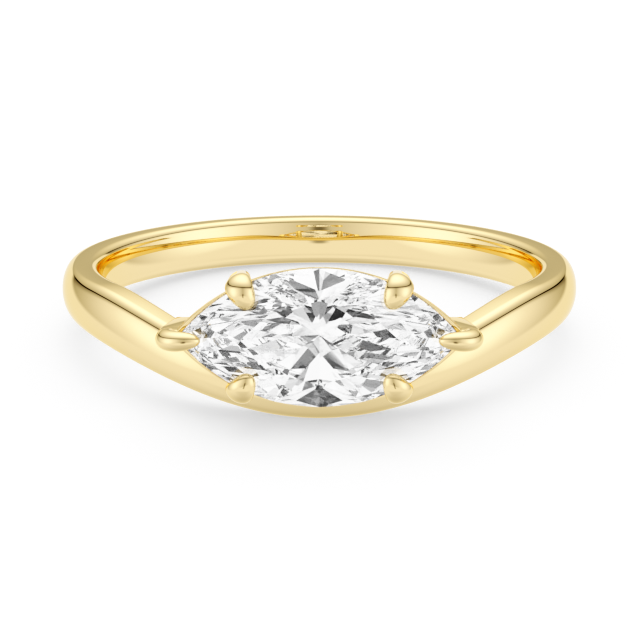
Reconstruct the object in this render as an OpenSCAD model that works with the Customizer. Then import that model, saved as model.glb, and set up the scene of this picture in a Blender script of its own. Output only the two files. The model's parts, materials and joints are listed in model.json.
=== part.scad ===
/* [Finger] */
// Inside diameter of the band, about US size 6 1/2
finger_d = 17; // [16.6:0.1:17.6]

/* [Band] */
// Width of the band along the finger
band_w = 1.96; // [1.8:0.02:2.2]
// Thickness of the band at its sides and front
band_t = 1.5; // [1.4:0.02:1.7]
// Thickness of the band at its back
band_back_t = 1.3; // [1.2:0.02:1.5]
// Depth of the rounded outer face
dome_depth = 0.53; // [0.4:0.01:0.7]
// Radius of the crowned inner face across its width
comfort_r = 2.7; // [2.4:0.1:4]
// Radius of the eased inner edges
edge_r = 0.34; // [0.2:0.02:0.4]

/* [Sweep under the stone] */
// Drop of the band's lower edge at the front
low_drop = 1.91; // [1.6:0.05:2.1]
// Angle from the front at which the lower edge starts to drop
low_span = 90; // [80:1:100]
// Sharpness of the lower edge's drop
low_power = 1.9; // [1:0.1:2.2]
// Drop of the band's upper edge at the front
high_drop = 2.2; // [1.9:0.05:2.4]
// Angle from the front at which the upper edge starts to drop
high_span = 60; // [55:1:70]

/* [Stone] */
// Length of the marquise, tip to tip
stone_l = 9.9; // [9.6:0.1:10.2]
// Width of the marquise
stone_w = 4.95; // [4.8:0.05:5.1]
// Height of the crown above the girdle
crown_h = 0.74; // [0.6:0.02:0.8]
// Thickness of the girdle
girdle_h = 0.12; // [0.08:0.02:0.2]
// Depth of the pavilion below the girdle
pavilion_h = 2.2; // [2:0.05:2.25]
// Size of the table against the whole outline
table_ratio = 0.58; // [0.5:0.01:0.64]
// Distance from the finger's axis to the middle of the girdle
stone_reach = 11; // [10.9:0.05:11.2]
// Height of the stone's middle above the middle of the band
stone_rise = 0.4; // [0.3:0.05:0.5]
// Gap left all round between the stone and the metal
stone_gap = 0.03; // [0.02:0.01:0.05]

/* [Setting] */
// Length of the seat rim under the stone
rim_l = 10.36; // [10:0.02:10.6]
// Width of the seat rim
rim_w = 4.93; // [4.7:0.01:5.1]
// Width of the ledge under the stone's edge
rim_ledge = 0.5; // [0.4:0.05:0.7]
// Height of the seat rim
rim_h = 0.3; // [0.25:0.05:0.5]
// Place of the four side claws along the stone
claw_x = 2.76; // [2.7:0.02:3]
// Width of a side claw
claw_w = 1; // [0.8:0.02:1.1]
// Thickness of a side claw
claw_t = 0.72; // [0.6:0.02:0.8]
// Width of a tip claw
tip_claw_w = 0.74; // [0.66:0.02:0.9]
// Thickness of a tip claw
tip_claw_t = 0.82; // [0.7:0.02:0.9]
// Width of the flat-topped posts under the tip claws
post_w = 0.7; // [0.6:0.02:0.8]

/* [Hidden] */

bore_r = finger_d / 2;
half_w = band_w / 2;

// The crowned inner face reaches this far into the bore, which trims it to a narrow land
land_depth = 0.03;

// Behind the stone the inner face is relieved by this much, up to this angle from the front
relief_depth = 0.06;
relief_span = 80;

// Sections round the band and steps in its curves
band_stations = 72;
dome_steps = 8;
edge_steps = 3;
comfort_steps = 4;

// Sides of a claw and steps in its bend and its rounded end
claw_sides = 16;
bend_steps = 5;
cap_steps = 4;

// Longer than the ring in any direction
far = 30;

// All claws turn this far over the stone, end this high above its girdle and have this share of
// their width below it
claw_bend = 80;
claw_top = 0.82;
stem_share = 0.84;

// Direction of the side claws, from straight across the stone, and how far the tip claws turn up
// from its length
claw_turn = 30;
tip_claw_turn = 4;

// Side claws: distance outside the stone's edge, radius of the bend, height where it starts,
// length of the straight part below the girdle, length of the rounded end and its bluntness
side_stand = 0.11;
side_bend_r = 0.44;
claw_start = 0.08;
side_stem = 0.75;
side_tip = 0.5;
side_blunt = 2.4;

// The same for the tip claws
tip_stand = 0.36;
tip_bend_r = 0.62;
tip_start = -0.04;
tip_stem = 0.35;
tip_tip = 0.68;
tip_blunt = 3;

// The side claws run down to the band as stems: points in the stone's frame, from the foot up,
// with how far the stem leans there. The upper ones turn under the stone first.
upper_stem = [
    [2.5, -1.9, -2, -75],
    [2.72, 0.9, -1.36, -73],
    [2.77, 1.38, -1.2, -55],
    [2.79, 1.7, -0.94, -24]
];
lower_stem = [[2.55, -2.1, -1.95, 0]];

// Posts: their height along the finger, the middles of their two ends and of the heel in the band
post_h = 0.62;
post_front = [stone_l / 2 + 0.3, -0.04, -0.2];
post_back = [stone_l / 2 - 0.18, -0.04, -1.95];
post_heel = [stone_l / 2 - 0.35, -0.9, -2.9];

// A marquise outline is the overlap of two equal circles
function lens_r(length, width) = (length * length + width * width) / (4 * width);
arc_r = lens_r(stone_l, stone_w);
arc_off = arc_r - stone_w / 2;

function outline_y(x) = sqrt(arc_r * arc_r - x * x) - arc_off;

// Drop of an edge of the band, or relief of its inner face, at an angle from the front
function drop(angle, depth, span, power) =
    abs(angle) >= span ? 0 : depth * pow((1 + cos(180 * angle / span)) / 2, power);

function low_edge(angle) = -half_w - drop(angle, low_drop, low_span, low_power);
function high_edge(angle) = half_w - drop(angle, high_drop, high_span, 1);

// The band is thinnest at the back and reaches its full thickness at the sides
function thickness(angle) =
    let (part = min(1, (180 - abs(angle)) / 90))
    band_back_t + (band_t - band_back_t) * (1 - cos(180 * part)) / 2;

function relief(angle) = drop(angle, relief_depth, relief_span, 1);

// Cross-section of the band: [distance from the axis, height from -1 to 1]
function band_section(thick, relief) =
    let (dome = dome_depth * thick / band_t)
    let (outer_r = bore_r + thick)
    let (flat = half_w - edge_r)
    let (crown_r = bore_r - land_depth + relief + comfort_r)
    let (edge_in = crown_r - sqrt(comfort_r * comfort_r - flat * flat))
    concat(
        [for (i = [0:dome_steps])
            let (a = -90 + 180 * i / dome_steps)
            [outer_r - dome + dome * cos(a), sin(a)]],
        [for (i = [0:edge_steps])
            let (a = 90 * i / edge_steps)
            [edge_in + edge_r * (1 - sin(a)), (flat + edge_r * cos(a)) / half_w]],
        [for (i = [1:comfort_steps - 1])
            let (z = flat * (1 - 2 * i / comfort_steps))
            [crown_r - sqrt(comfort_r * comfort_r - z * z), z / half_w]],
        [for (i = [0:edge_steps])
            let (a = 90 - 90 * i / edge_steps)
            [edge_in + edge_r * (1 - sin(a)), -(flat + edge_r * cos(a)) / half_w]]
    );

// The same section set round the finger, angle 0 at the front (-Y)
function band_ring(angle) =
    let (low = low_edge(angle), high = high_edge(angle))
    [for (p = band_section(thickness(angle), relief(angle)))
        [p[0] * sin(angle), -p[0] * cos(angle), low + (high - low) * (p[1] + 1) / 2]];

// Faces of a skin over rings that all have the same number of points
function skin_faces(rings, sides, closed) =
    let (spans = closed ? rings : rings - 1)
    [for (i = [0:spans - 1], j = [0:sides - 1], half = [0, 1])
        let (a = i * sides + j)
        let (b = i * sides + (j + 1) % sides)
        let (c = ((i + 1) % rings) * sides + (j + 1) % sides)
        let (d = ((i + 1) % rings) * sides + j)
        half == 0 ? [a, b, c] : [a, c, d]];

// How far the front is lifted when the ring lies on its side: both low points touch the surface
function lowest(points, lift) =
    let (heights = [for (p = points) p[2] * cos(lift) - p[1] * sin(lift)])
    let (least = min(heights))
    [for (i = [0:len(points) - 1]) if (heights[i] == least) points[i]][0];

function resting_lift(lift, rounds) =
    rounds == 0 ? lift
    : let (front = lowest(band_ring(0), lift), back = lowest(band_ring(180), lift))
        resting_lift(atan2(back[2] - front[2], back[1] - front[1]), rounds - 1);

rest_lift = resting_lift(5, 4);
rest_point = lowest(band_ring(0), rest_lift);
rest_z = rest_point[1] * sin(rest_lift) - rest_point[2] * cos(rest_lift);

// Middle of the resting ring from its lower claws in front to its band behind
front_y = -(stone_reach + claw_top) * cos(rest_lift)
    + (stone_rise - outline_y(claw_x)) * sin(rest_lift);
back_y = (bore_r + band_back_t) * cos(rest_lift);
rest_y = -(front_y + back_y) / 2;

// The stone's outline as a flat shape
module marquise(length, width, grow) {
    r = lens_r(length, width);
    intersection_for (s = [-1, 1])
        translate([0, s * (r - width / 2)]) circle(r = r + grow, $fn = 360);
}

// Places along one quarter of the outline: tip, three between, belly
facet_x = [1, 0.85, 0.6, 0.32, 0] * stone_l / 2;

// The sixteen places round the whole outline, counted from the +X tip
function quarter(k) = k <= 4 ? k : k <= 8 ? 8 - k : k <= 12 ? k - 8 : 16 - k;
function outline_point(k) =
    let (i = k % 16, x = facet_x[quarter(i)])
    [(i <= 4 || i >= 12 ? 1 : -1) * x, (i <= 8 ? 1 : -1) * outline_y(x), 0];
function outline_normal(k) =
    let (p = outline_point(k), q = quarter(k % 16))
    q == 0 ? [sign(p[0]), 0, 0] : [p[0], p[1] + sign(p[1]) * arc_off, 0] / arc_r;
function along_outline(k) = let (n = outline_normal(k)) [-n[1], n[0], 0];

// A facet's plane is [direction, distance], and it faces the way that look does
function unit(v) = v / norm(v);
function plane(a, b, c, look) =
    let (n = unit(cross(b - a, c - a)))
    let (out = n * look < 0 ? -n : n)
    [out, out * a];

// Point shared by two facets at a height
function meet(p, q, z) =
    let (det = p[0][0] * q[0][1] - p[0][1] * q[0][0])
    let (u = p[1] - p[0][2] * z, v = q[1] - q[0][2] * z)
    [(u * q[0][1] - v * p[0][1]) / det, (v * p[0][0] - u * q[0][0]) / det, z];

half_girdle = [0, 0, girdle_h / 2];
table_z = girdle_h / 2 + crown_h;
star_z = girdle_h / 2 + crown_h * 0.46;
culet = [0, 0, -girdle_h / 2 - pavilion_h];
lower_z = -girdle_h / 2 - pavilion_h * 0.78;
table_reach = [table_ratio, table_ratio * 1.02, table_ratio * 1.04];

// Crown: eight main facets, eight star facets and sixteen upper girdle facets
function table_point(k) =
    let (p = outline_point(k), q = quarter(k % 16) / 2)
    [p[0] * table_reach[q], p[1] * table_reach[q], table_z];
function crown_main(k) =
    let (g = outline_point(k) + half_girdle)
    plane(g, g + along_outline(k), table_point(k), [0, 0, 1]);
function star_point(k) = meet(crown_main((k + 15) % 16), crown_main((k + 1) % 16), star_z);
function star(k) = plane(table_point(k + 15), table_point(k + 1), star_point(k), [0, 0, 1]);
function upper_girdle(k, odd) =
    plane(outline_point(k) + half_girdle, outline_point(k + 1) + half_girdle, star_point(odd), [0, 0, 1]);

// Pavilion: eight main facets that meet at the culet, half a step round from the crown's, and
// sixteen long lower girdle facets, which meet in pairs below the tips, the belly and between
function pavilion_main(k) =
    let (g = outline_point(k) - half_girdle)
    plane(g, g + along_outline(k), culet, [0, 0, -1]);
function lower_point(k) =
    meet(pavilion_main((k + 15) % 16), pavilion_main((k + 1) % 16), lower_z);
function lower_girdle(k, even) =
    plane(outline_point(k) - half_girdle, outline_point(k + 1) - half_girdle, lower_point(even), [0, 0, -1]);

table_facet = [[0, 0, 1], table_z];
facets = concat(
    [table_facet],
    [for (k = [0:2:14]) crown_main(k)],
    [for (k = [1:2:15]) star(k)],
    [for (k = [0:15]) upper_girdle(k, k % 2 == 0 ? k + 1 : k)],
    [for (k = [0:15]) lower_girdle(k, k % 2 == 0 ? k : k + 1)],
    [for (k = [1:2:15]) pavilion_main(k)]
);

// Everything beyond a facet's plane
module beyond(facet, grow) {
    n = facet[0];
    turn = atan2(n[1], n[0]);
    tip = acos(n[2]);
    rotate([0, tip, turn])
        translate([-far / 2, -far / 2, facet[1] + grow])
            cube(far);
}

// The outline as a thick slab, from below the culet to above the table
module slab(grow) {
    translate([0, 0, culet[2] - 1])
        linear_extrude(table_z - culet[2] + 2) marquise(stone_l, stone_w, grow);
}

// The slab with its first facets cut, one after the other
module faceted(count, grow) {
    if (count == 0)
        slab(grow);
    else
        difference() {
            faceted(count - 1, grow);
            beyond(facets[count - 1], grow);
        }
}

// The stone lies flat, table up, with its girdle at height 0
module cut_stone(grow) {
    faceted(len(facets), grow);
}

// Share of a claw's full width or thickness, from the start of its bend to its rounded end. A claw
// with a higher value of blunt keeps its width longer.
function claw_share(part, blunt) = sqrt(1 - pow(part, blunt));

// A claw stands at X = 0, beside the stone, and bends over it towards -X. Each row is one step
// of its line: [X, Y, Z, bend, share of its width, share of its thickness].
function claw_line(below, stand, bend_r, start, stem, tip, blunt) =
    let (over = [stand - bend_r * (1 - cos(claw_bend)), start + bend_r * sin(claw_bend)])
    let (arc = bend_r * claw_bend * PI / 180)
    concat(
        [for (step = below) concat(step, stem_share, stem_share)],
        [[stand, 0, -stem, 0, stem_share, stem_share]],
        [for (i = [0:bend_steps])
            let (a = claw_bend * i / bend_steps, part = arc * i / bend_steps / (arc + tip))
            [stand - bend_r * (1 - cos(a)), 0, start + bend_r * sin(a), a,
                claw_share(part, blunt), claw_share(part, 3)]],
        [for (i = [1:cap_steps])
            let (reach = tip * sin(80 * i / cap_steps), part = (arc + reach) / (arc + tip))
            [over[0] - reach * sin(claw_bend), 0, over[1] + reach * cos(claw_bend), claw_bend,
                claw_share(part, blunt), claw_share(part, 3)]]
    );

function claw_ring(step, width, thick) =
    [for (j = [0:claw_sides - 1])
        let (b = 360 * j / claw_sides)
        let (out = thick / 2 * step[5] * sin(b))
        [step[0] + out * cos(step[3]), step[1] + width / 2 * step[4] * cos(b), step[2] + out * sin(step[3])]];

module claw(line, width, thick) {
    last = (len(line) - 1) * claw_sides;
    faces = concat(
        skin_faces(len(line), claw_sides, false),
        [[for (j = [0:claw_sides - 1]) claw_sides - 1 - j]],
        [[for (j = [0:claw_sides - 1]) last + j]]
    );
    polyhedron(
        points = [for (step = line) each claw_ring(step, width, thick)],
        faces = faces, convexity = 4);
}

// Side claw on the stone's outline: side is 1 for the stone's upper edge and -1 for its lower
module side_claw(end, side) {
    n = [end * sin(claw_turn), side * cos(claw_turn)];
    base = [end * claw_x, side * outline_y(claw_x)];
    below = [for (p = side > 0 ? upper_stem : lower_stem)
        let (v = [end * p[0], p[1]] - base)
        [v * n, v * [-n[1], n[0]], p[2], p[3]]];
    translate([base[0], base[1], 0])
        rotate([0, 0, atan2(n[1], n[0])])
            claw(
                claw_line(below, side_stand, side_bend_r, claw_start, side_stem, side_tip, side_blunt),
                claw_w, claw_t);
}

module tip_claw(end) {
    translate([end * stone_l / 2, 0, 0])
        rotate([0, 0, end > 0 ? -tip_claw_turn : 180 + tip_claw_turn])
            claw(
                claw_line([], tip_stand, tip_bend_r, tip_start, tip_stem, tip_tip, tip_blunt),
                tip_claw_w, tip_claw_t);
}

// The same point at the stone's other end
function at_end(p, end) = [end * p[0], p[1], p[2]];

// The tip claws stand on posts that reach back to the shoulders, with their tops flat and level
module tip_post(end) {
    hull() {
        translate(at_end(post_front, end))
            cube([post_w, post_h, 0.5], center = true);
        translate(at_end(post_back, end))
            cube([post_w, post_h, 0.5], center = true);
        translate(at_end(post_heel, end))
            cube([post_w, 0.3, 0.2], center = true);
    }
}

module seat_rim() {
    translate([0, 0, -girdle_h / 2 - rim_h])
        linear_extrude(rim_h + girdle_h / 3)
            difference() {
                marquise(rim_l, rim_w, 0);
                marquise(rim_l, rim_w, -rim_ledge);
            }
}

module setting() {
    for (end = [-1, 1]) {
        for (side = [-1, 1])
            side_claw(end, side);
        tip_claw(end);
        tip_post(end);
    }
    seat_rim();
}

module band() {
    rings = [for (i = [0:band_stations - 1]) each band_ring(360 * i / band_stations - 180)];
    sides = len(band_section(band_t, 0));
    polyhedron(points = rings, faces = skin_faces(band_stations, sides, true), convexity = 8);
}

// From the stone's own frame to its place at the front of the ring
module at_the_front() {
    translate([0, -stone_reach, stone_rise])
        rotate([90, 0, 0])
            children();
}

// From the ring's frame, finger along Z, to the way it lies on a surface
module lying() {
    translate([0, rest_y, rest_z])
        rotate([-rest_lift, 0, 0])
            children();
}

module ring_mount() {
    color([0.93, 0.79, 0.46])
        lying()
            union() {
                difference() {
                    band();
                    translate([0, 0, -far / 2])
                        cylinder(h = far, r = bore_r, $fn = 180);
                }
                at_the_front()
                    difference() {
                        setting();
                        cut_stone(stone_gap);
                    }
            }
}

module marquise_stone() {
    color([0.93, 0.95, 0.97])
        lying()
            at_the_front()
                cut_stone(0);
}

ring_mount();
marquise_stone();
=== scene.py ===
"""Marquise engagement ring in yellow gold, lying on its side on a white table."""

import json
import math

import bmesh
import bpy
from mathutils import Matrix, Vector


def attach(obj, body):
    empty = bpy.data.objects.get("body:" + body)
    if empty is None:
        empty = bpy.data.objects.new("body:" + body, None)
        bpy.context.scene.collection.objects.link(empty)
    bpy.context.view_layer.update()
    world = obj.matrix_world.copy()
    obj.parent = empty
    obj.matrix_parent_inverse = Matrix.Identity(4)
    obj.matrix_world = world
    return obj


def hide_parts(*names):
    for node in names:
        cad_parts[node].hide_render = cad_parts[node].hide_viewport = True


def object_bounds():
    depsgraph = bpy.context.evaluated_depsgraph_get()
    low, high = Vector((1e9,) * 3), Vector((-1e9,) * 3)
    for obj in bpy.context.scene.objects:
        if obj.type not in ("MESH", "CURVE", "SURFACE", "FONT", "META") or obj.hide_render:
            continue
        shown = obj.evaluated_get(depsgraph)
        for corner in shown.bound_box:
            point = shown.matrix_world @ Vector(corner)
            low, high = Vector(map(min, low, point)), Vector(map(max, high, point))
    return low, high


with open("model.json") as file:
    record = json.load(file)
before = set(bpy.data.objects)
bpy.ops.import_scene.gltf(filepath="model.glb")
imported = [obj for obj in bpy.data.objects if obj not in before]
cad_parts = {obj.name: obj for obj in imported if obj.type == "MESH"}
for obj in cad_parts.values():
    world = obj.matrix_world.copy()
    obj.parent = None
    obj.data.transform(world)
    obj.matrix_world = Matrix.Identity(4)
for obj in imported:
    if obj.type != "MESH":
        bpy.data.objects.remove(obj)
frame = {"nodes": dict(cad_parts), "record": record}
cad_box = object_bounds()

# Lengths are in millimetres and angles in degrees, as on a jeweller's bench sheet
MM = 0.001

# Band
BORE_R = 8.5
BAND_W = 1.96
BAND_T = 1.5
BAND_BACK_T = 1.3
DOME_DEPTH = 0.53
COMFORT_R = 2.7
EDGE_R = 0.34
LOW_DROP = 1.91
LOW_SPAN = 90
LOW_POWER = 1.9
HIGH_DROP = 2.2
HIGH_SPAN = 60

# Stone
STONE_L = 9.9
STONE_W = 4.95
STONE_REACH = 11
STONE_RISE = 0.4
GIRDLE_H = 0.12
PAVILION_H = 2.2
STONE_GAP = 0.03

# Setting
RIM_L = 10.36
RIM_W = 4.93
RIM_LEDGE = 0.5
RIM_H = 0.3
RIM_SOFT = 0.06
CLAW_X = 2.76
CLAW_W = 1.0
CLAW_T = 0.72
CLAW_TURN = 30
TIP_CLAW_W = 0.74
TIP_CLAW_T = 0.82
TIP_CLAW_TURN = 4
CLAW_BEND = 80
STEM_SHARE = 0.84
POST_W = 0.7
POST_H = 0.62
POST_SOFT = 0.08

# How finely the polished surfaces are cut
BAND_STEPS = 288
DOME_STEPS = 48
EDGE_STEPS = 10
COMFORT_STEPS = 24
CLAW_SIDES = 48
BEND_STEPS = 24
CAP_STEPS = 20
RIM_STEPS = 96
# An edge that turns more than this is drawn sharp
SHARP_FROM = 35


finger_hole = next(m for m in frame["record"]["mounts"] if m["name"] == "finger_hole")
FINGER_AXIS = Vector(finger_hole["axis"])
RING_CENTRE = Vector(finger_hole["pos_m"])

# From the ring's own frame in millimetres, finger along Z, to the way it lies on the table
LYING = (
    Matrix.Translation(RING_CENTRE)
    @ Vector((0, 0, 1)).rotation_difference(FINGER_AXIS).to_matrix().to_4x4()
    @ Matrix.Scale(MM, 4)
)
# From the stone's frame, table up, to the front of the ring
AT_THE_FRONT = Matrix.Translation((0, -STONE_REACH, STONE_RISE)) @ Matrix.Rotation(math.pi / 2, 4, "X")


def drop(angle, depth, span, power=1.0):
    """Drop of an edge of the band at an angle from the front."""
    if abs(angle) >= span:
        return 0.0
    return depth * ((1 + math.cos(math.pi * angle / span)) / 2) ** power


def thickness(angle):
    """The band is thinnest at the back and reaches its full thickness at the sides."""
    part = min(1, (180 - abs(angle)) / 90)
    return BAND_BACK_T + (BAND_T - BAND_BACK_T) * (1 - math.cos(math.pi * part)) / 2


def arc_radius(length, width):
    """Radius of the two equal arcs of a marquise outline."""
    return (length * length + width * width) / (4 * width)


def keep(bm, name, place, smooth=True):
    """Finish a piece: place it, face it outwards, shade it and let it ride on the ring."""
    bmesh.ops.transform(bm, matrix=place, verts=bm.verts)
    bmesh.ops.recalc_face_normals(bm, faces=bm.faces)
    for face in bm.faces:
        face.smooth = smooth
    mesh = bpy.data.meshes.new(name)
    bm.to_mesh(mesh)
    bm.free()
    piece = bpy.data.objects.new(name, mesh)
    bpy.context.scene.collection.objects.link(piece)
    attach(piece, "root")
    return piece


def band_section():
    """Cross-section of the band at the front: distance from the axis and height, closed."""
    half_w = BAND_W / 2
    flat = half_w - EDGE_R
    crown_r = BORE_R + COMFORT_R
    edge_in = crown_r - math.sqrt(COMFORT_R**2 - flat**2)
    points = []
    for i in range(DOME_STEPS + 1):
        a = math.pi * (i / DOME_STEPS - 0.5)
        points.append((BORE_R + BAND_T - DOME_DEPTH * (1 - math.cos(a)), half_w * math.sin(a)))
    for i in range(EDGE_STEPS + 1):
        a = math.pi / 2 * i / EDGE_STEPS
        points.append((edge_in + EDGE_R * (1 - math.sin(a)), flat + EDGE_R * math.cos(a)))
    for i in range(1, COMFORT_STEPS):
        z = flat * (1 - 2 * i / COMFORT_STEPS)
        points.append((crown_r - math.sqrt(COMFORT_R**2 - z * z), z))
    for i in range(EDGE_STEPS + 1):
        a = math.pi / 2 * (1 - i / EDGE_STEPS)
        points.append((edge_in + EDGE_R * (1 - math.sin(a)), -flat - EDGE_R * math.cos(a)))
    return points


def make_band():
    """Spin the cross-section round the finger, then thin its back and sweep its front down."""
    bm = bmesh.new()
    section = [bm.verts.new((0, -r, z)) for r, z in band_section()]
    edges = [bm.edges.new((a, b)) for a, b in zip(section, section[1:] + section[:1])]
    bmesh.ops.spin(
        bm, geom=section + edges, cent=(0, 0, 0), axis=(0, 0, 1), angle=2 * math.pi,
        steps=BAND_STEPS, use_merge=True,
    )
    bmesh.ops.remove_doubles(bm, verts=bm.verts, dist=1e-5)
    half_w = BAND_W / 2
    for vert in bm.verts:
        x, y, z = vert.co
        angle = math.degrees(math.atan2(x, -y))
        grown = thickness(angle) / BAND_T
        radius = math.hypot(x, y)
        scale = (BORE_R + (radius - BORE_R) * grown) / radius if radius > BORE_R else 1
        low = -half_w - drop(angle, LOW_DROP, LOW_SPAN, LOW_POWER)
        high = half_w - drop(angle, HIGH_DROP, HIGH_SPAN)
        vert.co = (x * scale, y * scale, low + (high - low) * (z / half_w + 1) / 2)
    return keep(bm, "band", LYING)


def sweep(places, sides):
    """A skin over a row of unit circles, each set by its matrix, with closed ends."""
    bm = bmesh.new()
    ring = bmesh.ops.create_circle(bm, segments=sides, radius=1, matrix=places[0])["verts"]
    edges = list({edge for vert in ring for edge in vert.link_edges})
    bmesh.ops.contextual_create(bm, geom=edges)
    for before, after in zip(places, places[1:]):
        made = bmesh.ops.extrude_edge_only(bm, edges=edges)["geom"]
        verts = [g for g in made if isinstance(g, bmesh.types.BMVert)]
        edges = [g for g in made if isinstance(g, bmesh.types.BMEdge) and g.is_boundary]
        bmesh.ops.transform(bm, matrix=after @ before.inverted(), verts=verts)
    bmesh.ops.pointmerge(bm, verts=verts, merge_co=places[-1].translation)
    return bm


def claw_share(part, blunt):
    """Share of a claw's full width or thickness, from the start of its bend to its rounded end."""
    return math.sqrt(1 - part**blunt)


def claw_places(below, stand, bend_r, start, stem, tip, width, thick, blunt):
    """Sections of a claw that stands beside the stone at X = 0 and bends over it towards -X."""
    rows = [(*p, STEM_SHARE, STEM_SHARE) for p in below]
    rows.append((stand, 0, -stem, 0, STEM_SHARE, STEM_SHARE))
    bend = math.radians(CLAW_BEND)
    arc = bend_r * bend
    for i in range(BEND_STEPS + 1):
        a = bend * i / BEND_STEPS
        part = arc * i / BEND_STEPS / (arc + tip)
        x = stand - bend_r * (1 - math.cos(a))
        z = start + bend_r * math.sin(a)
        rows.append((x, 0, z, a, claw_share(part, blunt), claw_share(part, 3)))
    for i in range(1, CAP_STEPS + 1):
        reach = tip * math.sin(math.radians(89) * i / CAP_STEPS)
        part = (arc + reach) / (arc + tip)
        rows.append((
            x - reach * math.sin(bend), 0, z + reach * math.cos(bend), bend,
            claw_share(part, blunt), claw_share(part, 3),
        ))
    return [
        Matrix.Translation((x, y, z))
        @ Matrix.Rotation(-lean, 4, "Y")
        @ Matrix.Diagonal((thick / 2 * deep, width / 2 * wide, 1, 1))
        for x, y, z, lean, wide, deep in rows
    ]


# Stems from the foot up, in the stone's frame, with how far each leans
UPPER_STEM = [(2.5, -1.9, -2, -75), (2.72, 0.9, -1.36, -73), (2.77, 1.38, -1.2, -55), (2.79, 1.7, -0.94, -24)]
LOWER_STEM = [(2.55, -2.1, -1.95, 0)]


def make_side_claw(name, end, side):
    """A side claw on the outline: side is 1 for the stone's upper edge and -1 for its lower."""
    arc_r = arc_radius(STONE_L, STONE_W)
    arc_off = arc_r - STONE_W / 2
    outline_y = math.sqrt(arc_r**2 - CLAW_X**2) - arc_off
    base = Vector((end * CLAW_X, side * outline_y, 0))
    turn = math.radians(CLAW_TURN)
    out = Vector((end * math.sin(turn), side * math.cos(turn), 0))
    along = Vector((-out.y, out.x, 0))
    below = []
    for x, y, z, lean in UPPER_STEM if side > 0 else LOWER_STEM:
        off = Vector((end * x, y, 0)) - base
        below.append((off.dot(out), off.dot(along), z, math.radians(lean)))
    places = claw_places(
        below, stand=0.11, bend_r=0.44, start=0.08, stem=0.75, tip=0.5, width=CLAW_W, thick=CLAW_T, blunt=2.4
    )
    turned = Matrix.Translation(base) @ Matrix.Rotation(math.atan2(out.y, out.x), 4, "Z")
    return keep(sweep(places, CLAW_SIDES), name, LYING @ AT_THE_FRONT @ turned)


def make_tip_claw(name, end):
    """A claw over one of the stone's points."""
    places = claw_places(
        [], stand=0.36, bend_r=0.62, start=-0.04, stem=0.35, tip=0.68, width=TIP_CLAW_W, thick=TIP_CLAW_T,
        blunt=3,
    )
    turn = math.radians(-TIP_CLAW_TURN if end > 0 else 180 + TIP_CLAW_TURN)
    turned = Matrix.Translation((end * STONE_L / 2, 0, 0)) @ Matrix.Rotation(turn, 4, "Z")
    return keep(sweep(places, CLAW_SIDES), name, LYING @ AT_THE_FRONT @ turned)


def make_post(name, end):
    """A flat-topped post from a tip claw back to the shoulder, sinking into it at its heel."""
    # middle and size of its front end, its back end and its heel, in the stone's frame
    front = ((STONE_L / 2 + 0.3, -0.04, -0.2), (POST_W, POST_H, 0.5))
    back = ((STONE_L / 2 - 0.18, -0.3, -2.2), (POST_W, 1.14, 0.5))
    heel = ((STONE_L / 2 - 0.35, -0.9, -3), (POST_W, 0.3, 0.2))
    bm = bmesh.new()
    middle, size = front
    bmesh.ops.create_cube(bm, size=1, matrix=Matrix.Translation(middle) @ Matrix.Diagonal((*size, 1)))
    bmesh.ops.recalc_face_normals(bm, faces=bm.faces)
    for (x, y, z), (w, h, _) in (back, heel):
        bm.normal_update()
        end_face = min(bm.faces, key=lambda f: f.calc_center_median().z)
        made = bmesh.ops.extrude_face_region(bm, geom=[end_face])["geom"]
        bmesh.ops.delete(bm, geom=[end_face], context="FACES")
        verts = [g for g in made if isinstance(g, bmesh.types.BMVert)]
        centre = sum((v.co for v in verts), Vector()) / len(verts)
        for vert in verts:
            off = vert.co - centre
            vert.co = Vector((x + math.copysign(w / 2, off.x), y + math.copysign(h / 2, off.y), z))
    bmesh.ops.bevel(
        bm, geom=bm.edges[:], offset=POST_SOFT, segments=4, affect="EDGES", profile=0.5, material=-1,
        clamp_overlap=True,
    )
    if end < 0:
        bmesh.ops.transform(bm, matrix=Matrix.Diagonal((-1, 1, 1, 1)), verts=bm.verts)
    post = keep(bm, name, LYING @ AT_THE_FRONT)
    # its large faces stay flat between the soft edges
    post.modifiers.new("flat_faces", "WEIGHTED_NORMAL").weight = 100
    return post


def make_seat_rim():
    """Spin a soft-edged strip along one arc of the outline, cut it at the points and mirror it."""
    arc_r = arc_radius(RIM_L, RIM_W)
    arc_off = arc_r - RIM_W / 2
    reach = math.asin(RIM_L / 2 / arc_r) + math.radians(4)
    top = -GIRDLE_H / 2 + GIRDLE_H / 3
    bottom = -GIRDLE_H / 2 - RIM_H
    bm = bmesh.new()
    corners = [
        bm.verts.new((0, r - arc_off, z))
        for r, z in ((arc_r, top), (arc_r, bottom), (arc_r - RIM_LEDGE, bottom), (arc_r - RIM_LEDGE, top))
    ]
    strip = bm.faces.new(corners)
    bmesh.ops.bevel(
        bm, geom=corners, offset=RIM_SOFT, segments=4, affect="VERTICES", profile=0.5, material=-1
    )
    strip = bm.faces[:]
    edges = list({edge for face in strip for edge in face.edges})
    bmesh.ops.delete(bm, geom=strip, context="FACES_ONLY")
    verts = list({vert for edge in edges for vert in edge.verts})
    centre = (0, -arc_off, 0)
    bmesh.ops.rotate(bm, verts=verts, cent=centre, matrix=Matrix.Rotation(reach, 3, "Z"))
    bmesh.ops.spin(
        bm, geom=verts + edges, cent=centre, axis=(0, 0, 1), angle=-2 * reach, steps=RIM_STEPS
    )
    geom = bm.verts[:] + bm.edges[:] + bm.faces[:]
    bmesh.ops.bisect_plane(bm, geom=geom, plane_co=(0, 0, 0), plane_no=(0, -1, 0), clear_outer=True)
    geom = bm.verts[:] + bm.edges[:] + bm.faces[:]
    bmesh.ops.mirror(bm, geom=geom, axis="Y", merge_dist=1e-5)
    bmesh.ops.remove_doubles(bm, verts=bm.verts, dist=1e-5)
    return keep(bm, "seat_rim", LYING @ AT_THE_FRONT)


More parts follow.
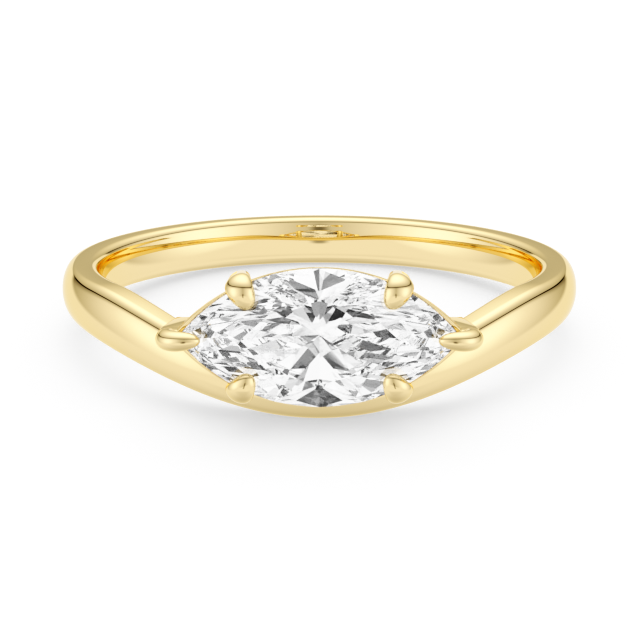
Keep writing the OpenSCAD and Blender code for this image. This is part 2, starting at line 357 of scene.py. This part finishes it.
def make_seat_cutter(stone):
    """The stone grown by the gap that the metal leaves round it."""
    bm = bmesh.new()
    bm.from_mesh(stone.data)
    bmesh.ops.remove_doubles(bm, verts=bm.verts, dist=1e-8)
    half = (STONE_L / 2, STONE_W / 2, PAVILION_H)
    grow = Matrix.Diagonal((*[1 + STONE_GAP / size for size in half], 1))
    place = LYING @ AT_THE_FRONT
    bmesh.ops.transform(bm, matrix=place @ grow @ place.inverted(), verts=bm.verts)
    mesh = bpy.data.meshes.new("seat_cutter")
    bm.to_mesh(mesh)
    bm.free()
    cutter = bpy.data.objects.new("seat_cutter", mesh)
    bpy.context.scene.collection.objects.link(cutter)
    return cutter


def cut_notches(pieces, cutter):
    """Cut the stone's seat into the pieces that hold it."""
    for piece in pieces:
        notch = piece.modifiers.new("notch", "BOOLEAN")
        notch.operation = "DIFFERENCE"
        notch.solver = "EXACT"
        notch.object = cutter
    bpy.context.view_layer.update()
    for piece in pieces:
        whole = piece.data
        name = whole.name
        cut = piece.evaluated_get(bpy.context.evaluated_depsgraph_get())
        piece.data = bpy.data.meshes.new_from_object(cut)
        piece.modifiers.clear()
        bpy.data.meshes.remove(whole)
        piece.data.name = name
        piece.data.set_sharp_from_angle(angle=math.radians(SHARP_FROM))
    mesh = cutter.data
    bpy.data.objects.remove(cutter)
    bpy.data.meshes.remove(mesh)


stone = frame["nodes"]["marquise_stone"]
holding_pieces = [make_seat_rim()]
posts = []
for end, hand in ((-1, "left"), (1, "right")):
    holding_pieces += [
        make_side_claw(f"upper_claw_{hand}", end, 1),
        make_side_claw(f"lower_claw_{hand}", end, -1),
        make_tip_claw(f"tip_claw_{hand}", end),
    ]
    posts.append(make_post(f"claw_post_{hand}", end))
cut_notches(holding_pieces, make_seat_cutter(stone))
gold_pieces = [make_band(), *posts, *holding_pieces]
for piece in gold_pieces:
    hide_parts("ring_mount")


def colour(code):
    """An sRGB hex value as linear RGBA."""
    parts = [int(code[i:i + 2], 16) / 255 for i in (1, 3, 5)]
    return (*[c / 12.92 if c <= 0.04045 else ((c + 0.055) / 1.055) ** 2.4 for c in parts], 1)


def add(tree, kind, links=None, stops=None, **settings):
    """Add a node. links gives its inputs, each a socket to link or a value; stops are a ramp's."""
    made = tree.nodes.new(kind)
    for name, value in settings.items():
        setattr(made, name, value)
    for key, value in (links or {}).items():
        if isinstance(value, bpy.types.NodeSocket):
            tree.links.new(value, made.inputs[key])
        else:
            made.inputs[key].default_value = value
    if stops:
        elements = made.color_ramp.elements
        while len(elements) < len(stops):
            elements.new(1)
        for element, (place, level) in zip(elements, stops):
            element.position = place
            element.color = level if isinstance(level, tuple) else (level, level, level, 1)
    return made


def material(name):
    """A new material with only its output and Principled BSDF."""
    made = bpy.data.materials.new(name)
    made.use_nodes = True
    return made, made.node_tree, made.node_tree.nodes["Principled BSDF"]


# 14 carat yellow gold, mirror polished on a felt wheel: a pale warm metal whose deep
# reflections turn orange, with the faint unevenness that the wheel leaves
gold, tree, shader = material("yellow_gold_14k_polished")
shader.inputs["Base Color"].default_value = colour("#F5DDAC")
shader.inputs["Specular Tint"].default_value = colour("#FCF3DA")
shader.inputs["Metallic"].default_value = 1
place = add(tree, "ShaderNodeTexCoord").outputs["Object"]
# haze of the last polish, in patches about 1.5 mm across
haze = add(tree, "ShaderNodeTexNoise", {"Vector": place, "Scale": 700.0, "Detail": 3.0}).outputs["Fac"]
gloss = add(
    tree, "ShaderNodeMapRange",
    {"Value": haze, "From Min": 0.3, "From Max": 0.7, "To Min": 0.015, "To Max": 0.04},
).outputs["Result"]
tree.links.new(gloss, shader.inputs["Roughness"])

# Diamond, faceted and polished: colourless, very strongly refracting
diamond, tree, shader = material("diamond_cut_polished")
shader.inputs["Base Color"].default_value = colour("#FFFFFF")
shader.inputs["Roughness"].default_value = 0.0
shader.inputs["IOR"].default_value = 2.417
# little glare on its table, so that the light inside shows
shader.inputs["Specular IOR Level"].default_value = 0.2
shader.inputs["Transmission Weight"].default_value = 1.0

for piece in gold_pieces:
    piece.data.materials.append(gold)
    # The stone sparkles with the tent's light alone, and hides the gold behind it
    piece.visible_transmission = False
stone.data.materials.clear()
stone.data.materials.append(diamond)

# White lacquered table top
table_top, tree, shader = material("white_lacquer_matt")
shader.inputs["Base Color"].default_value = colour("#DADADA")
shader.inputs["Roughness"].default_value = 0.9
shader.inputs["Emission Color"].default_value = (1, 1, 1, 1)
shader.inputs["Emission Strength"].default_value = 0.46

TABLE_SIZE = 0.8
bm = bmesh.new()
bmesh.ops.create_grid(bm, x_segments=1, y_segments=1, size=TABLE_SIZE / 2)
mesh = bpy.data.meshes.new("table_top")
bm.to_mesh(mesh)
bm.free()
table_piece = bpy.data.objects.new("table_top", mesh)
bpy.context.scene.collection.objects.link(table_piece)
table_piece.data.materials.append(table_top)
table_piece.location.z = cad_box[0].z - 0.00001
# The ring mirrors the tent's own table light, which reaches only as far as the side boxes
table_piece.visible_transmission = table_piece.visible_glossy = False

# Light tent: a round soft box overhead that leans back, one on each side, and the white table.
# Azimuth 0 is in front of the stone and 180 behind the ring; each box is brightest at its lamp.
HALF_TURN = math.pi
OVERHEAD_PLACE = (180, 63)
OVERHEAD_HALF = 60
SIDE_LAMP_PLACE = (68, 12)
SIDE_BOX_PLACE = (92, 46)
SIDE_BOX_HALF = 66
LIGHT_MAX = 2.0
SLIT_PLACE = (0, 5)
SLIT_HALF = 11
EXPOSURE = 0.87
world = bpy.data.worlds.new("light_tent")
bpy.context.scene.world = world
world.use_nodes = True
tree = world.node_tree
direction = add(tree, "ShaderNodeTexCoord").outputs["Generated"]
split = add(tree, "ShaderNodeSeparateXYZ", {"Vector": direction})
across = add(tree, "ShaderNodeMath", {0: split.outputs["X"]}, operation="ABSOLUTE").outputs[0]
# The tent is the same on the left and the right
folded = add(
    tree, "ShaderNodeCombineXYZ", {"X": across, "Y": split.outputs["Y"], "Z": split.outputs["Z"]}
).outputs["Vector"]


def angle_from(place):
    """Angle between a direction and a box's middle, as a share of a half turn."""
    round_by, up = (math.radians(angle) for angle in place)
    axis = (math.sin(round_by) * math.cos(up), -math.cos(round_by) * math.cos(up), math.sin(up))
    dot = add(tree, "ShaderNodeVectorMath", {0: folded, 1: axis}, operation="DOT_PRODUCT").outputs["Value"]
    angle = add(tree, "ShaderNodeMath", {0: dot}, operation="ARCCOSINE").outputs[0]
    return add(tree, "ShaderNodeMath", {0: angle, 1: HALF_TURN}, operation="DIVIDE").outputs[0]


def box_light(place, falloff):
    """Light of a soft box that falls off from its middle, from (degrees, level) pairs."""
    stops = [(degrees / 180, level / LIGHT_MAX) for degrees, level in falloff]
    level = add(tree, "ShaderNodeValToRGB", {"Fac": angle_from(place)}, stops=stops).outputs["Color"]
    return add(tree, "ShaderNodeMath", {0: level, 1: LIGHT_MAX}, operation="MULTIPLY").outputs[0]


def step(value, start, end, low=0.0, high=1.0):
    """A soft step from low to high while an angle goes from start to end degrees."""
    return add(
        tree, "ShaderNodeMapRange",
        {"Value": value, "From Min": start / 180, "From Max": end / 180, "To Min": low, "To Max": high},
        interpolation_type="SMOOTHSTEP",
    ).outputs["Result"]


def times(one, other):
    return add(tree, "ShaderNodeMath", {0: one, 1: other}, operation="MULTIPLY").outputs[0]


def blend(share, low, high):
    return add(tree, "ShaderNodeMix", {"Factor": share, "A": low, "B": high}, data_type="FLOAT").outputs["Result"]


from_front = angle_from((0, 0))
from_zenith = angle_from((0, 90))
from_overhead = angle_from(OVERHEAD_PLACE)
overhead = box_light(OVERHEAD_PLACE, [(0, 1.7), (25, 1.45), (42, 0.95), (60, 0.5)])
side_light = box_light(SIDE_LAMP_PLACE, [(0, 1.5), (12, 1.4), (30, 1.05), (60, 0.65), (80, 0.4)])
# A side box dims towards its upper edge
side_light = times(side_light, step(from_overhead, OVERHEAD_HALF, OVERHEAD_HALF + 11, 0.5, 1.0))
# The white table: darker below the ring, most of all under its front
under_front = blend(step(from_zenith, 113, 121), 1.0, step(from_front, 40, 75, 0.84, 1.0))
table_light = times(step(from_zenith, 110, 175, 1.0, 0.62), under_front)
lower = blend(step(angle_from(SIDE_BOX_PLACE), SIDE_BOX_HALF - 3, SIDE_BOX_HALF + 3), side_light, table_light)
# In front the side boxes end at the horizon; behind, the table's light reaches up to the overhead box
at_table = add(
    tree, "ShaderNodeMath", {0: step(from_zenith, 86, 90), 1: step(from_front, 110, 140)}, operation="MAXIMUM"
).outputs[0]
lower = blend(at_table, side_light, lower)
# The side boxes leave a short slit between them in front, at the height of the stone
sideways = add(tree, "ShaderNodeMath", {0: across}, operation="ARCSINE").outputs[0]
sideways = add(tree, "ShaderNodeMath", {0: sideways, 1: HALF_TURN}, operation="DIVIDE").outputs[0]
off_slit = step(angle_from(SLIT_PLACE), SLIT_HALF, SLIT_HALF + 4)
lower = times(lower, blend(off_slit, step(sideways, 1, 7, 0.4, 1.0), 1.0))
light = blend(step(from_overhead, OVERHEAD_HALF - 1, OVERHEAD_HALF + 1), overhead, lower)
# The boxes don't quite meet: a dark gap that closes behind the ring
off_edge = add(
    tree, "ShaderNodeMath", {0: from_overhead, 1: OVERHEAD_HALF / 180}, operation="SUBTRACT"
).outputs[0]
off_edge = add(tree, "ShaderNodeMath", {0: off_edge}, operation="ABSOLUTE").outputs[0]
gap_dark = step(from_front, 145, 160, 0.03, 1.0)
light = times(light, step(off_edge, 0.5, 2.2, gap_dark, 1.0))
# What the stone gathers from all sides: bright tent walls with darker folds and gaps
folds = add(
    tree, "ShaderNodeTexNoise", {"Vector": direction, "W": 0.0, "Scale": 1.5, "Detail": 1.0, "Roughness": 0.4},
    noise_dimensions="4D",
).outputs["Fac"]
sparkle = add(
    tree, "ShaderNodeValToRGB", {"Fac": folds},
    stops=[(0.0, 0.0), (0.43, 0.0), (0.46, 0.2), (0.49, 0.6), (0.53, 0.85), (0.6, 1.0)],
).outputs["Color"]
through_stone = add(tree, "ShaderNodeLightPath").outputs["Is Transmission Ray"]
seen = times(blend(through_stone, light, times(sparkle, 1.18)), EXPOSURE)
background = tree.nodes["Background"]
tree.links.new(seen, background.inputs["Strength"])
background.inputs["Color"].default_value = (1, 1, 1, 1)

# Camera at the photograph's angle: 12 degrees over the ring's own plane, from 100 mm
CAMERA_OVER_PLANE = math.radians(12.03)
CAMERA_FAR = 100 * MM
PIXELS_PER_MM = 25.58
IMAGE_SIZE = 640
RING_PIXEL = (319.4, 283.4)
SENSOR = 36
ring_lift = math.atan2(FINGER_AXIS.y, FINGER_AXIS.z)
tilt = CAMERA_OVER_PLANE + ring_lift
look = Vector((0, math.cos(tilt), -math.sin(tilt)))
data = bpy.data.cameras.new("camera")
data.sensor_width = SENSOR
data.lens = PIXELS_PER_MM * CAMERA_FAR / MM * SENSOR / IMAGE_SIZE
data.shift_x = (IMAGE_SIZE / 2 - RING_PIXEL[0]) / IMAGE_SIZE
data.shift_y = (RING_PIXEL[1] - IMAGE_SIZE / 2) / IMAGE_SIZE
data.clip_start = 0.005
data.clip_end = 5
camera = bpy.data.objects.new("camera", data)
camera.location = RING_CENTRE - look * CAMERA_FAR
camera.rotation_euler = look.to_track_quat("-Z", "Y").to_euler()
bpy.context.scene.collection.objects.link(camera)
bpy.context.scene.camera = camera
bpy.context.scene.view_settings.view_transform = "Standard"
# A product photograph's contrast: deep darks and softly rounded lights
bpy.context.scene.view_settings.use_curve_mapping = True
tone = bpy.context.scene.view_settings.curve_mapping
tone.extend = "EXTRAPOLATED"
for level, shown in ((0.026, 0.002), (0.064, 0.018), (0.15, 0.12), (0.344, 0.41), (0.7, 0.82), (0.87, 0.955)):
    tone.curves[3].points.new(level, shown)
tone.update()

# Light inside a cut stone turns many times before it leaves
cycles = bpy.context.scene.cycles
cycles.max_bounces = cycles.glossy_bounces = cycles.transmission_bounces = 40
cycles.caustics_reflective = cycles.caustics_refractive = False
